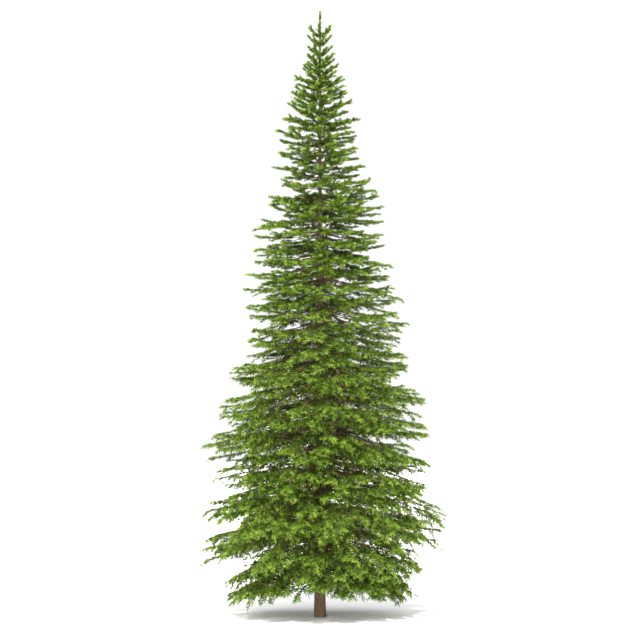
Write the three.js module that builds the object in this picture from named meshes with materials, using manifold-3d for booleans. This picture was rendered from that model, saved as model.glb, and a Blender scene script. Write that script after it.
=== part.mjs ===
// Spruce tree: a straight tapering trunk, main boughs and separate masses of needle foliage.
// Millimetres, +Z up, origin at the centre of the flat cut under the trunk, +X to the right.

import * as THREE from 'three';
import { mergeVertices } from 'three/addons/utils/BufferGeometryUtils.js';
import Module from 'manifold-3d';

const wasm = await Module();
wasm.setup();

// Trunk
const treeHeight = 12000;
const footRadius = 114;
const tipRadius = 4;
const flareRadius = 10;
const flareHeight = 160;
const trunkSides = 12;
const trunkSections = 22;
const unevenness = 0.03;
// Above 1, the sections stand closer together towards the foot.
const sectionSpread = 1.35;

// The clearance that neighbouring pieces keep.
const gap = 0.3;

// Leader: the needle sleeve on the youngest shoot.
const leaderFoot = 11545;
const leaderTop = 11985;
const leaderRadius = 48;
const leaderSides = 8;
const leaderSections = 5;
const leaderUnevenness = 0.14;
// The spindle follows part of a half wave, over a core of constant radius.
const leaderCore = 0.42;
const leaderWave = [0.15, 0.9];

// Turns of foliage round the trunk, from the top down. A turn of one mass closes round the trunk.
// A turn of two or three masses is a flight of fans, each lower than the one before it.
// Each band has a lead above its first turn, and its turns grow deeper on the way down.
const topFoot = 11430;
const bands = [
  { name: 'foliage_whorl', parts: 1, turns: 12, lobes: 6, boughs: 0 },
  { name: 'foliage_upper', parts: 2, turns: 6, lobes: 7, boughs: 12 },
  { name: 'foliage_lower', parts: 3, turns: 7, lobes: 5, boughs: 1 },
];
const leads = [0, 85, 120];
const firstDrops = [180, 486, 588];
const dropGrowths = [14, 18, 8];
const firstAzimuths = [0, -58, 30];
const driftPerTurn = [19, 8, 3];
const seam = 4;
const fullness = [0.86, 0.91, 0.88];
const shareAboveBough = 0.46;
const skinNoise = 0.09;

// Rows of a mass from its inner edge to its rim: [share of the way out, share of the thickness].
const rows = [[0, 0.5], [0.45, 1], [0.8, 0.7], [1, 0]];

// How far a lobe strays: its azimuth in steps, its tip in thicknesses, its reach round the mean.
const azimuthStray = 0.2;
const tipStray = 0.2;
const meanReach = 0.99;
const reachStray = 0.06;

// The last turn, the skirt: how far its masses close up on the lowest of them.
const skirtClosing = 0.6;

// Where a mass on a bough starts: a share of its reach, and a clearance on top.
const innerShare = 0.2;
const innerClearance = 60;

// A notch between two lobes, as a share of the lobes' reach and thickness.
const notchDepth = 0.74;
const notchStray = 0.07;
const notchFullness = 0.86;

// A fan thins out towards its two edges.
const edgeFullness = 0.45;
const fullnessPerColumn = 0.2;

// How far the longest boughs reach to each side: [height of the tip, reach].
const reachLeft = [
  [11690, 258], [11270, 270], [10950, 370], [10620, 545], [10200, 690], [9770, 760], [9440, 925],
  [8740, 960], [8160, 1060], [7544, 1386], [7267, 1346], [6710, 1420], [6178, 1584], [5420, 1420],
  [4990, 1663], [4237, 2000], [3703, 2138], [3208, 2317], [2800, 2060], [2237, 2158], [1980, 2257],
  [1188, 2297], [640, 2050], [240, 1861],
];
const reachRight = [
  [11690, 270], [11270, 275], [10950, 400], [10620, 545], [10200, 650], [9770, 780], [9440, 790],
  [8740, 970], [8078, 1287], [7841, 1346], [7300, 1300], [6673, 1505], [5999, 1782], [5603, 1802],
  [5405, 1782], [4653, 1881], [4158, 2119], [3703, 2099], [3227, 2198], [2812, 2218], [2396, 2396],
  [1920, 2490], [1505, 2376], [1129, 2336], [640, 2010], [330, 1760],
];
const snapShare = 0.32;
const snapAzimuth = 26;

// Slope of a bough where it leaves the trunk, and its drop by the tip, against height.
const riseByHeight = [[0, -0.02], [2000, 0.04], [6000, 0.1], [9000, 0.16], [10200, 0.42], [11400, 1]];
const dropByHeight = [[800, 0.34], [2000, 0.25], [4500, 0.17], [7000, 0.1], [9500, 0.05], [11400, 0]];

// A bough's length as a share of the height above its foot, to find the level of its tip.
const lengthPerHeadroom = 0.2;

// Boughs: radius, and its share along the bough, with the root set into the trunk.
const boughSides = 7;
const leastBoughRadius = 8;
const boughRadiusPerReach = 0.0062;
const boughRootDepth = 0.7;
const boughRootGirth = 1.5;
const boughGirths = [[0, 1.45], [0.1, 1.08], [0.45, 0.95], [1, 0.8]];

// Steps between the draws of the scatter.
const seedPerMass = 97;
const seedPerBand = 1000;
const draw = { tip: 7, reach: 3, notch: 5, underside: 40, leader: 900 };

const barkColour = 0x6b5a45;
const boughColour = 0x7a6450;
const freshGreen = new THREE.Color(0x7d9150);
const deepGreen = new THREE.Color(0x55702f);
const barkRoughness = 0.92;
const boughRoughness = 0.9;
const needleRoughness = 0.85;

// A fixed scatter between -1 and 1 for any pair of whole numbers.
function scatter(first, second) {
  let mix = Math.imul(first + 101, 0x9e3779b1) ^ Math.imul(second + 57, 0x85ebca6b);
  mix = Math.imul(mix ^ (mix >>> 15), 0x2c1b3c6d);
  mix = Math.imul(mix ^ (mix >>> 13), 0x297a2d39);
  return ((mix ^ (mix >>> 16)) >>> 0) / 0x7fffffff - 1;
}

// Straight-line value of a list of [key, value] pairs, in rising or falling order of key.
function valueAt(pairs, key) {
  const ordered = pairs[0][0] < pairs[1][0] ? pairs : [...pairs].reverse();
  if (key <= ordered[0][0]) return ordered[0][1];
  for (let i = 1; i < ordered.length; i += 1) {
    const [highKey, highValue] = ordered[i];
    const [lowKey, lowValue] = ordered[i - 1];
    if (key <= highKey) return THREE.MathUtils.mapLinear(key, lowKey, highKey, lowValue, highValue);
  }
  return ordered[ordered.length - 1][1];
}

function radians(degrees) {
  return THREE.MathUtils.degToRad(degrees);
}

function polar(radius, azimuth, height) {
  return new THREE.Vector3(radius * Math.cos(azimuth), radius * Math.sin(azimuth), height);
}

// Reach of the crown in any direction: the right and left reaches, blended round the trunk.
function crownReach(azimuth, height) {
  const side = (1 + Math.cos(azimuth)) / 2;
  return THREE.MathUtils.lerp(valueAt(reachLeft, height), valueAt(reachRight, height), side);
}

// Height of a bough above its foot on the trunk, at a share of its reach.
function boughRise(foot, reach, share) {
  return reach * (valueAt(riseByHeight, foot) * share - valueAt(dropByHeight, foot) * share * share);
}

function trunkRadius(height) {
  const flare = flareRadius * Math.exp(-height / flareHeight);
  return THREE.MathUtils.lerp(footRadius, tipRadius, height / treeHeight) + flare;
}

function indexed(points, faces) {
  const geometry = new THREE.BufferGeometry();
  geometry.setAttribute('position', new THREE.Float32BufferAttribute(points.flatMap((p) => p.toArray()), 3));
  geometry.setIndex(faces.flat());
  return geometry;
}

// Rings of points, joined in order and closed by a flat fan at each end.
function loft(rings) {
  const sides = rings[0].length;
  const points = rings.flat();
  const faces = [];
  for (let ring = 0; ring + 1 < rings.length; ring += 1) {
    for (let side = 0; side < sides; side += 1) {
      const next = (side + 1) % sides;
      const low = ring * sides;
      const high = low + sides;
      faces.push([low + side, low + next, high + next], [low + side, high + next, high + side]);
    }
  }
  const last = (rings.length - 1) * sides;
  for (let side = 1; side + 1 < sides; side += 1) {
    faces.push([0, side + 1, side], [last, last + side, last + side + 1]);
  }
  return indexed(points, faces);
}

function trunkGeometry(clearance) {
  const rings = [];
  for (let section = 0; section <= trunkSections; section += 1) {
    const share = section / trunkSections;
    const height = treeHeight * share ** sectionSpread;
    const ring = [];
    for (let side = 0; side < trunkSides; side += 1) {
      const swell = 1 + unevenness * scatter(section, side);
      ring.push(polar(trunkRadius(height) * swell + clearance, (side / trunkSides) * 2 * Math.PI, height));
    }
    rings.push(ring);
  }
  return loft(rings);
}

function toSolid(geometry) {
  const merged = mergeVertices(geometry);
  const mesh = new wasm.Mesh({
    numProp: 3,
    vertProperties: new Float32Array(merged.getAttribute('position').array),
    triVerts: new Uint32Array(merged.getIndex().array),
  });
  return new wasm.Manifold(mesh);
}

function toGeometry(solid) {
  const { vertProperties, triVerts } = solid.getMesh();
  const geometry = new THREE.BufferGeometry();
  geometry.setAttribute('position', new THREE.Float32BufferAttribute(vertProperties, 3));
  geometry.setIndex([...triVerts]);
  return geometry;
}

const trunkWithClearance = toSolid(trunkGeometry(gap));

function cutRoundTrunk(geometry) {
  return toGeometry(toSolid(geometry).subtract(trunkWithClearance));
}

// A column of a mass: one line outwards along a lobe or a notch.
function columnPoints(column, mass, index) {
  const above = [];
  const below = [];
  rows.forEach(([share, thick], row) => {
    const radius = THREE.MathUtils.lerp(mass.innerRadius, column.reach, share);
    const line = mass.foot + boughRise(mass.foot, mass.reach, radius / mass.reach);
    const height = line + column.lift * share * share;
    const thickness = mass.thickness * thick * column.fullness;
    const upperNoise = skinNoise * scatter(mass.seed + index, row);
    const lowerNoise = skinNoise * scatter(mass.seed + index, row + draw.underside);
    const upper = thickness * shareAboveBough * (1 + upperNoise);
    const lower = thickness * (1 - shareAboveBough) * (1 + lowerNoise);
    above.push(polar(radius, column.azimuth, height + upper));
    below.push(polar(radius, column.azimuth, height - lower));
  });
  return { above, below };
}

// A closed mass: an upper and a lower skin that meet along the rim.
function massGeometry(mass) {
  const columns = mass.columns.map((column, index) => columnPoints(column, mass, index));
  const points = columns.flatMap(({ above, below }) => [...above, ...below]);
  const stride = rows.length * 2;
  const last = rows.length - 1;
  const upper = (column, row) => (column % columns.length) * stride + row;
  const lower = (column, row) => {
    return row === last ? upper(column, row) : (column % columns.length) * stride + rows.length + row;
  };
  const faces = [];
  const spans = mass.closed ? columns.length : columns.length - 1;
  for (let column = 0; column < spans; column += 1) {
    const next = column + 1;
    for (let row = 0; row < last; row += 1) {
      const out = row + 1;
      faces.push([upper(column, row), upper(column, out), upper(next, out)]);
      faces.push([upper(column, row), upper(next, out), upper(next, row)]);
      faces.push([lower(column, row), lower(next, out), lower(column, out)]);
      faces.push([lower(column, row), lower(next, row), lower(next, out)]);
    }
    faces.push([upper(column, 0), upper(next, 0), lower(next, 0)]);
    faces.push([upper(column, 0), lower(next, 0), lower(column, 0)]);
  }
  if (!mass.closed) {
    for (let row = 0; row < last; row += 1) {
      const out = row + 1;
      const far = columns.length - 1;
      faces.push([upper(0, row), lower(0, row), lower(0, out)]);
      faces.push([upper(far, row), lower(far, out), lower(far, row)]);
      if (out < last) {
        faces.push([upper(0, row), lower(0, out), upper(0, out)]);
        faces.push([upper(far, row), upper(far, out), lower(far, out)]);
      }
    }
  }
  return mergeVertices(indexed(points, faces));
}

// A named long bough to the left or right that a lobe takes over, if one is near it.
function nearestLongBough(azimuth, height, furthest) {
  const toRight = Math.abs(Math.atan2(Math.sin(azimuth), Math.cos(azimuth)));
  const facesSide = Math.min(toRight, Math.PI - toRight) < radians(snapAzimuth);
  if (!facesSide) return null;
  const named = toRight < Math.PI / 2 ? reachRight : reachLeft;
  const nearest = named.reduce((best, pair) => {
    return Math.abs(pair[0] - height) < Math.abs(best[0] - height) ? pair : best;
  });
  return Math.abs(nearest[0] - height) < furthest ? nearest : null;
}

// Alternate notch and lobe columns across a mass.
function lobedColumns(mass, first, step, count) {
  const columns = [];
  const tip = mass.foot + boughRise(mass.foot, mass.reach, 1);
  for (let index = 0; index < count; index += 1) {
    const isLobe = index % 2 === 1;
    const stray = isLobe ? azimuthStray * scatter(mass.seed, index) : 0;
    const azimuth = first + step * (index + stray);
    const wander = mass.thickness * tipStray * scatter(mass.seed + draw.tip, index);
    const named = isLobe ? nearestLongBough(azimuth, tip + wander, mass.thickness * snapShare) : null;
    const strayedReach = meanReach + reachStray * scatter(mass.seed + draw.reach, index);
    const reach = named ? named[1] : crownReach(azimuth, tip + wander) * strayedReach;
    const notch = notchDepth + notchStray * scatter(mass.seed + draw.notch, index);
    const fromEdge = mass.closed ? count : Math.min(index, count - 1 - index);
    columns.push({
      azimuth,
      reach: isLobe ? reach : reach * notch,
      lift: named ? named[0] - tip : wander,
      fullness: Math.min(isLobe ? 1 : notchFullness, edgeFullness + fullnessPerColumn * fromEdge),
    });
  }
  return columns;
}

function foliageMaterial(height) {
  const color = deepGreen.clone().lerp(freshGreen, height / treeHeight);
  return new THREE.MeshStandardMaterial({ color, roughness: needleRoughness, metalness: 0 });
}

function addMesh(name, geometry, material) {
  const mesh = new THREE.Mesh(geometry, material);
  mesh.name = name;
  tree.add(mesh);
}

function numbered(word, index) {
  return `${word}_${String(index + 1).padStart(2, '0')}`;
}

function addTrunk() {
  const look = { color: barkColour, roughness: barkRoughness, metalness: 0 };
  addMesh('trunk', trunkGeometry(0), new THREE.MeshStandardMaterial(look));
}

// A spindle of needles round the leader.
function addLeader() {
  const rings = [];
  for (let section = 0; section <= leaderSections; section += 1) {
    const share = section / leaderSections;
    const height = THREE.MathUtils.lerp(leaderFoot, leaderTop, share);
    const wave = Math.sin(Math.PI * THREE.MathUtils.lerp(leaderWave[0], leaderWave[1], share));
    const radius = leaderRadius * THREE.MathUtils.lerp(leaderCore, 1, wave);
    const ring = [];
    for (let side = 0; side < leaderSides; side += 1) {
      const uneven = 1 + leaderUnevenness * scatter(section, side + draw.leader);
      ring.push(polar(radius * uneven, (side / leaderSides) * 2 * Math.PI, height));
    }
    rings.push(ring);
  }
  addMesh('foliage_leader', cutRoundTrunk(loft(rings)), foliageMaterial(leaderTop));
}

// A bough from the trunk to the inner wall of its mass, cut upright there.
function boughGeometry(mass, azimuth, endRadius) {
  const thickest = leastBoughRadius + boughRadiusPerReach * mass.reach;
  const start = trunkRadius(mass.foot);
  const root = (-boughRootDepth * start) / (endRadius - start);
  const sections = [[root, boughRootGirth], ...boughGirths];
  const rings = sections.map(([share, girth]) => {
    const radius = THREE.MathUtils.lerp(start, endRadius, share);
    const height = mass.foot + boughRise(mass.foot, mass.reach, radius / mass.reach);
    const ring = [];
    for (let side = 0; side < boughSides; side += 1) {
      const turn = (side / boughSides) * 2 * Math.PI;
      const across = thickest * girth * Math.cos(turn);
      const up = thickest * girth * Math.sin(turn);
      const point = new THREE.Vector3(radius, across, height + up);
      ring.push(point.applyAxisAngle(new THREE.Vector3(0, 0, 1), azimuth));
    }
    return ring;
  });
  return loft(rings);
}

function addBough(mass, facet, index) {
  const look = { color: boughColour, roughness: boughRoughness, metalness: 0 };
  const from = mass.columns[facet - 1].azimuth;
  const to = mass.columns[facet].azimuth;
  const wallRadius = mass.innerRadius * Math.cos((to - from) / 2);
  const bough = boughGeometry(mass, (from + to) / 2, wallRadius - gap);
  addMesh(numbered('bough', index), cutRoundTrunk(bough), new THREE.MeshStandardMaterial(look));
}

// Inner radius of a mass that closes on the trunk: clear of the trunk's corners down to its lower edge.
function radiusRoundTrunk(foot, thickness, step) {
  const widest = trunkRadius(foot - thickness) * (1 + unevenness);
  return widest / Math.cos(step / 2) + gap;
}

// One mass of a band: a whole whorl, or a fan with or without a bare bough.
function makeMass(band, index, foot, thickness, azimuth) {
  const closed = band.parts === 1;
  const seed = seedPerMass * (index + 1) + seedPerBand * band.parts;
  const mass = { seed, foot, closed, thickness };
  const spread = radians(360 / band.parts - (closed ? 0 : seam));
  const step = spread / (band.lobes * 2);
  const count = band.lobes * 2 + (closed ? 0 : 1);
  mass.reach = crownReach(azimuth, foot + boughRise(foot, lengthPerHeadroom * (treeHeight - foot), 1));
  mass.innerRadius = radiusRoundTrunk(foot, thickness, step);
  if (index < band.boughs) mass.innerRadius = mass.reach * innerShare + innerClearance;
  mass.columns = lobedColumns(mass, azimuth - spread / 2, step, count);
  return mass;
}

function addCrown() {
  let foot = topFoot;
  let boughIndex = 0;
  bands.forEach((band, order) => {
    foot -= leads[order];
    for (let turn = 0; turn < band.turns; turn += 1) {
      const drop = firstDrops[order] + dropGrowths[order] * turn;
      const isSkirt = order === bands.length - 1 && turn === band.turns - 1;
      for (let part = 0; part < band.parts; part += 1) {
        const index = turn * band.parts + part;
        const fall = isSkirt ? THREE.MathUtils.lerp(part, band.parts - 1, skirtClosing) : part;
        const height = foot - (drop * fall) / band.parts;
        const degrees = firstAzimuths[order] + driftPerTurn[order] * turn + (360 * part) / band.parts;
        const mass = makeMass(band, index, height, drop * fullness[order], radians(degrees));
        addMesh(numbered(band.name, index), massGeometry(mass), foliageMaterial(height));
        if (index < band.boughs) {
          addBough(mass, band.lobes + (index % 2), boughIndex);
          boughIndex += 1;
        }
      }
      foot -= drop;
    }
  });
}

const tree = new THREE.Group();
addTrunk();
addLeader();
addCrown();

export default tree;
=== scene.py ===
import math
from types import SimpleNamespace

import bmesh
import bpy
import numpy as np
from bpy.props import FloatProperty, FloatVectorProperty, IntProperty, PointerProperty
from bpy.types import Operator, Panel, PropertyGroup
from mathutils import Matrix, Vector, noise


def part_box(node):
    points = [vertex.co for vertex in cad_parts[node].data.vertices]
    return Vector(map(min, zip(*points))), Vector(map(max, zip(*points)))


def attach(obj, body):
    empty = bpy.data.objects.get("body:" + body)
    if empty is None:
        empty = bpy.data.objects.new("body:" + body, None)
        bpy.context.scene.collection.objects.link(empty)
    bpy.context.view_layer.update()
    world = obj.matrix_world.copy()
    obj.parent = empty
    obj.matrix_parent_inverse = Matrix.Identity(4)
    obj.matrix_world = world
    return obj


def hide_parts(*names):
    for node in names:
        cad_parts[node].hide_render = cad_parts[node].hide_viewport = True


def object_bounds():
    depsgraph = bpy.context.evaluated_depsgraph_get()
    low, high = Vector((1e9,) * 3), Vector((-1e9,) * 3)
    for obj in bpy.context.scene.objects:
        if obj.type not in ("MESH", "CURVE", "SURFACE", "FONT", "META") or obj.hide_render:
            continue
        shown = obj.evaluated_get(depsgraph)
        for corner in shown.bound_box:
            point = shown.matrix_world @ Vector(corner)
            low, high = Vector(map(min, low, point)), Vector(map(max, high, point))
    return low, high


bl_info = {
    "name": "Spruce tree",
    "version": (1, 0, 0),
    "blender": (4, 5, 0),
    "location": "3D View > Sidebar > Spruce",
    "description": "Grows bark, boughs, twigs and needles round a packed spruce model",
    "category": "Object",
}

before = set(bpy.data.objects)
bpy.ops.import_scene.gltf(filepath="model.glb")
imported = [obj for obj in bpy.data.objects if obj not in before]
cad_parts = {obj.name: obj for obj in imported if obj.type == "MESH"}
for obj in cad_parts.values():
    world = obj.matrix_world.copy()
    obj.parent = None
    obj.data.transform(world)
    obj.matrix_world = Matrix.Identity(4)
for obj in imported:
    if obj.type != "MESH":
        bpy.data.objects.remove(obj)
cad_box = [list(corner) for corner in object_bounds()]

UP = np.array([0.0, 0.0, 1.0])
TREE_HEIGHT = cad_box[1][2]
MOST_TRIANGLES = 190000


# ---------------------------------------------------------------- settings


def length(name, default, description):
    return FloatProperty(
        name=name, default=default, description=description, unit="LENGTH", precision=4
    )


def colour(name, default, description):
    return FloatVectorProperty(
        name=name, default=default, description=description, subtype="COLOR", size=3, min=0, max=1
    )


class BarkSettings(PropertyGroup):
    """Sizes and colours of the bark."""

    sides: IntProperty(name="Trunk sides", default=72, description="Points round the trunk")
    rings: IntProperty(name="Trunk rings", default=620, description="Rings up the trunk")
    plate_relief: length("Plate relief", 0.0042, "Height of the bark plates at the foot")
    furrow: colour("Furrow", (0.05, 0.03, 0.018), "Bark between the plates")
    plate: colour("Plate", (0.15, 0.088, 0.05), "Weathered face of the plates")
    lichen: colour("Bloom", (0.21, 0.155, 0.105), "Pale grey bloom on the plates")
    limb: colour("Limb", (0.2, 0.108, 0.052), "Bark of the boughs")
    limb_dark: colour("Limb shade", (0.06, 0.034, 0.018), "Bark in the cracks of the boughs")


class GrowthSettings(PropertyGroup):
    """How boughs branch into twigs and needles."""

    seed: IntProperty(name="Seed", default=41, description="Start of the random draws")
    twig_gap: length("Twig gap", 0.1, "Distance between side twigs on a bough")
    shoot_gap: length("Shoot gap", 0.11, "Distance between shoots on a side twig")
    needle_length: length("Needle length", 0.057, "Length of a needle")
    needle_width: length("Needle width", 0.018, "Width of a needle")
    needles: IntProperty(name="Needles", default=460000, description="Number of needles in all")


class StageSettings(PropertyGroup):
    """Camera, floor and light."""

    distance: length("Distance", 34.0, "Distance of the camera from the trunk")
    eye: length("Eye height", 3.3, "Height of the camera")
    aim: length("Aim height", 5.80, "Height on the trunk that the camera looks at")
    lens: FloatProperty(name="Lens", default=97.2, description="Focal length in millimetres")
    floor: colour("Floor", (0.93, 0.93, 0.93), "Colour of the floor")
    sky: FloatProperty(name="Sky", default=1.12, description="Strength of the light all round")
    sun: FloatProperty(name="Sun", default=8.4, description="Strength of the key light")
    fill: FloatProperty(name="Fill", default=2.3, description="Strength of the low light in front")


# ---------------------------------------------------------------- shader maths


class Wire:
    """A socket whose sums and products add Math nodes."""

    def __init__(self, nodes, socket):
        self.nodes = nodes
        self.socket = socket

    def _math(self, operation, first, second):
        return self.nodes.make("ShaderNodeMath", {"operation": operation}, {0: first, 1: second})

    def __add__(self, other):
        return self._math("ADD", self, other)

    def __radd__(self, other):
        return self._math("ADD", other, self)

    def __sub__(self, other):
        return self._math("SUBTRACT", self, other)

    def __rsub__(self, other):
        return self._math("SUBTRACT", other, self)

    def __mul__(self, other):
        return self._math("MULTIPLY", self, other)

    def __rmul__(self, other):
        return self._math("MULTIPLY", other, self)


class Shader:
    """One material and the nodes that it is made of."""

    def __init__(self, name):
        self.material = bpy.data.materials.new(name)
        self.material.use_nodes = True
        self.tree = self.material.node_tree
        self.surface = self.tree.nodes["Principled BSDF"]

    def make(self, kind, settings, values, output=0):
        node = self.tree.nodes.new(kind)
        for key, value in settings.items():
            if key == "stops":
                self.set_stops(node.color_ramp, value)
            else:
                setattr(node, key, value)
        for key, value in values.items():
            self.feed(node.inputs[key], value)
        return Wire(self, node.outputs[output])

    def set_stops(self, ramp, stops):
        while len(ramp.elements) < len(stops):
            ramp.elements.new(1.0)
        for element, (position, shade) in zip(ramp.elements, stops):
            element.position = position
            element.color = (shade, shade, shade, 1)

    def feed(self, socket, value):
        if isinstance(value, Wire):
            self.tree.links.new(value.socket, socket)
        else:
            socket.default_value = value

    def place(self, stretch):
        coordinates = self.make("ShaderNodeTexCoord", {}, {}, "Object")
        return self.make("ShaderNodeMapping", {}, {"Vector": coordinates, "Scale": stretch})

    def mix(self, factor, first, second):
        values = {0: factor, 6: (*first, 1) if isinstance(first, tuple) else first, 7: (*second, 1)}
        return self.make("ShaderNodeMix", {"data_type": "RGBA"}, values, 2)


# ---------------------------------------------------------------- reading the frame

# The lines of a mass: the step in azimuth between two lines, half the radius that one row of
# points takes up, the most that a line counts as wide, and how near to the tips of the lobes
# beside it the boughs of a line between them reach.
LINE_BREAK = 0.02
ROW_MARGIN = 0.0015
WIDEST_ANGLE = 0.3
SHARE_OF_LOBES = 0.93


def node_points(name):
    return np.array([vertex.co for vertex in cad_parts[name].data.vertices], float)


def trunk_profile():
    """Heights and mean radii of the trunk's sections."""
    points = node_points("trunk")
    levels = np.unique(np.round(points[:, 2], 4))
    radii = []
    for level in levels:
        ring = points[np.abs(points[:, 2] - level) < 0.0005]
        radii.append(np.hypot(ring[:, 0], ring[:, 1]).mean())
    return levels, np.array(radii)


LEVELS, RADII = trunk_profile()


def trunk_radius(height):
    return np.interp(height, LEVELS, RADII)


def read_columns(name):
    """The lines of a mass that run outwards: azimuth, radii, lower and upper heights."""
    points = node_points(name)
    azimuth = np.arctan2(points[:, 1], points[:, 0])
    order = np.argsort(azimuth)
    breaks = np.where(np.diff(azimuth[order]) > LINE_BREAK)[0] + 1
    groups = np.split(order, breaks)
    seam = azimuth[groups[0]].min() + 2 * math.pi - azimuth[groups[-1]].max()
    if seam < LINE_BREAK:
        azimuth[groups[-1]] -= 2 * math.pi
        groups = [np.concatenate([groups[-1], groups[0]])] + groups[1:-1]
    columns = []
    for group in groups:
        radius = np.hypot(points[group, 0], points[group, 1])
        levels = np.unique(np.round(radius, 3))
        rows = []
        for level in levels:
            near = points[group][np.abs(radius - level) < ROW_MARGIN]
            rows.append((level, near[:, 2].min(), near[:, 2].max()))
        columns.append((azimuth[group].mean(), np.array(rows)))
    return columns


def spokes_of(name):
    """Every line of a mass: azimuth, rows, width as an angle, whether a lobe, and stretch."""
    columns = read_columns(name)
    reach = [rows[-1, 0] for _, rows in columns]
    count = len(columns)
    spokes = []
    for i, (azimuth, rows) in enumerate(columns):
        after = (columns[(i + 1) % count][0] - azimuth) % (2 * math.pi)
        before = (azimuth - columns[i - 1][0]) % (2 * math.pi)
        beside = max(reach[i - 1], reach[(i + 1) % count])
        lobe = reach[i] > beside
        stretch = 1.0 if lobe else SHARE_OF_LOBES * beside / reach[i]
        spokes.append((azimuth, rows, min(after, before, WIDEST_ANGLE), lobe, stretch))
    return spokes


MASSES = sorted(
    (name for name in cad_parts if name.startswith("foliage")),
    key=lambda name: -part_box(name)[1][2],
)
LIMBS = sorted(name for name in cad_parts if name.startswith("bough"))


# ---------------------------------------------------------------- growth

# A twig is a row of numbers: its curve is start + run * t + sag * t * t, for t from 0 to 1.
START, RUN, SAG = slice(0, 3), slice(3, 6), slice(6, 9)
SIZE, RADIUS, SPRAY, ORDER, MASS, DENSITY = range(9, 15)
LEADER, BOUGH, SIDE_TWIG, SHOOT = range(4)

# Tables of heights and of the values there.
GAP_BY_HEIGHT = ((2.2, 3.5, 7.0, 8.4), (0.32, 0.4, 0.46, 3.0))
DENSITY_BY_HEIGHT = ((3.0, 5.0, 6.0, 7.5, 9.2), (1.0, 1.05, 1.3, 1.95, 2.5))
DESCENT_BY_HEIGHT = ((3.0, 4.5, 7.5, 9.0), (0.04, 0.14, 0.15, 0.0))
FINENESS_BY_HEIGHT = ((4.0, 7.0), (1.0, 0.87))

# Windows where the boughs are bare beside the trunk: height, direction and half spread in
# degrees, and half depth.
WINDOWS = (
    (7.42, 180, 70, 0.11),
    (7.4, 0, 78, 0.13),
    (7.03, 180, 70, 0.1),
    (6.8, 180, 60, 0.08),
    (6.5, 0, 84, 0.18),
    (5.86, 0, 65, 0.09),
    (5.72, 180, 75, 0.13),
)

# The leader: pieces of needles, where they start as a share of the height, and their density.
LEADER_PIECES = 8
LEADER_FOOT = 0.88
LEADER_DENSITY = 4.8

# Room for needles past the leader's last piece and past the tip of a bough.
NEEDLE_ROOM = 0.03

# Rings: the last mass with a single ring, and the width of a bough by its share of the turn.
LAST_SINGLE_RING = 3
RING_WIDTH = 1.1

# Tiers run from 1 at the top of a mass to -1 at its underside: where two rings or rows of
# boughs stand, and how far a bough strays from its tier.
PAIR_TIER = 0.55
TIER_STRAY = 0.1

# Fans: tiers on a lobe of a lower mass, the outermost tier on a line between lobes, the width
# of a bough by its share of the turn, how far it turns aside, and how much of the stretch to
# the lobes it takes up.
THREE_TIERS = (0.9, 0.0, -0.9)
TWO_TIERS = (0.6, -0.6)
EDGE_TIER = 0.9
FAN_WIDTH = 1.5
LOWER_EXTRA_WIDTH = 0.5
TURN_STRAY = 0.2
STRETCH_SHARE = (0.2, 0.8)

# Filling: sectors of a turn, the share of the reach where heights are compared, and how far
# an added bough turns aside and reaches.
SECTORS = 24
OUTER = 0.7
ADDED_TURN = 0.1
ADDED_REACH = (0.82, 0.98)

# Boughs: points on the path, where it starts as a share of the trunk's radius, and the least
# half thickness of a mass as a share of its most.
PATH_POINTS = 12
ROOT_DEPTH = 0.8
LEAST_HALF_THICKNESS = 0.6

# How far a bough strays and its tip lifts, as shares of its reach, and in radians where it
# turns or waves from side to side.
REACH_STRAY = 0.04
TIER_REACH_STRAY = 0.1
HEIGHT_STRAY = 0.035
TURN_AT_ROOT = 0.07
TURN_BY_TIP = 0.05
WAVE = 0.03
WAVE_ALONG = 5
TIP_LIFT = 0.04

# Radius of a bough near the trunk, and the stretch without side twigs as a share of its
# length.
LIMB_RADIUS = 0.0045
LIMB_RADIUS_PER_METRE = 0.0078
BARE = 0.1
BARE_WHERE_HANGING = 0.06
BARE_IN_WINDOW = 0.5

# Needles on the bough itself: in how many pieces, where they start on a long bough and on a
# short one as a share of the length, and which length is long.
BOUGH_PIECES = 5
LONG_BOUGH = 0.8
LONG_BOUGH_FROM = 0.62
SHORT_BOUGH_FROM = 0.15

# Density of those needles, on boughs up to a length and on longer ones at the trunk.
DENSE_BOUGH = 0.9
DENSE_BOUGH_NEEDLES = 2.0
BOUGH_NEEDLES = 1.2

# Foliage begins to hang below the first height and hangs fully at this depth under it. Boughs
# that root above the last height have slender tips.
HANG_FROM = 8.3
HANG_DEPTH = 5.6
SLENDER_FROM = 2.6

# The skirt: its height, how much higher it is in front and at front right, how far boughs
# stay above it, and half the height and the number of the waves of its fringe.
SKIRT = 0.16
SKIRT_FRONT = 0.28
SKIRT_FRONT_RIGHT = 0.2
SKIRT_ROOM = 0.08
FRINGE = 0.1
FRINGES = 11

# Side twigs on a long bough: least and greatest length, the full length and its share of the
# bough's width, how far it strays on twigs and shoots, radius, and the least share of its
# length that a twig keeps over the skirt.
SHORTEST_TWIG = 0.06
LONGEST_TWIG = 0.4
FULL_TWIG = 0.34
TWIG_PER_WIDTH = 0.85
TWIG_STRAY = 0.25
TWIG_RADIUS = 0.0018
TWIG_RADIUS_PER_METRE = 0.006
LEAST_SHARE_KEPT = 0.35

# The angle in degrees at which side twigs leave the bough, how much less it is at the tip, and
# how far it strays. Then how far they tip down where the foliage hangs, how far they tip up
# where it doesn't, and the strays of that.
TWIG_FORK = 58
TWIG_FORK_LOST = 22
TWIG_FORK_STRAY = 8
TILT_WHERE_HANGING = 28
TILT_UP = 3
TILT_STRAY = 14
TILT_STRAY_WHERE_HANGING = 28

# Sag of a side twig as a share of its length, and what hanging adds.
TWIG_SAG = 0.03
TWIG_SAG_WHERE_HANGING = 0.17

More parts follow.
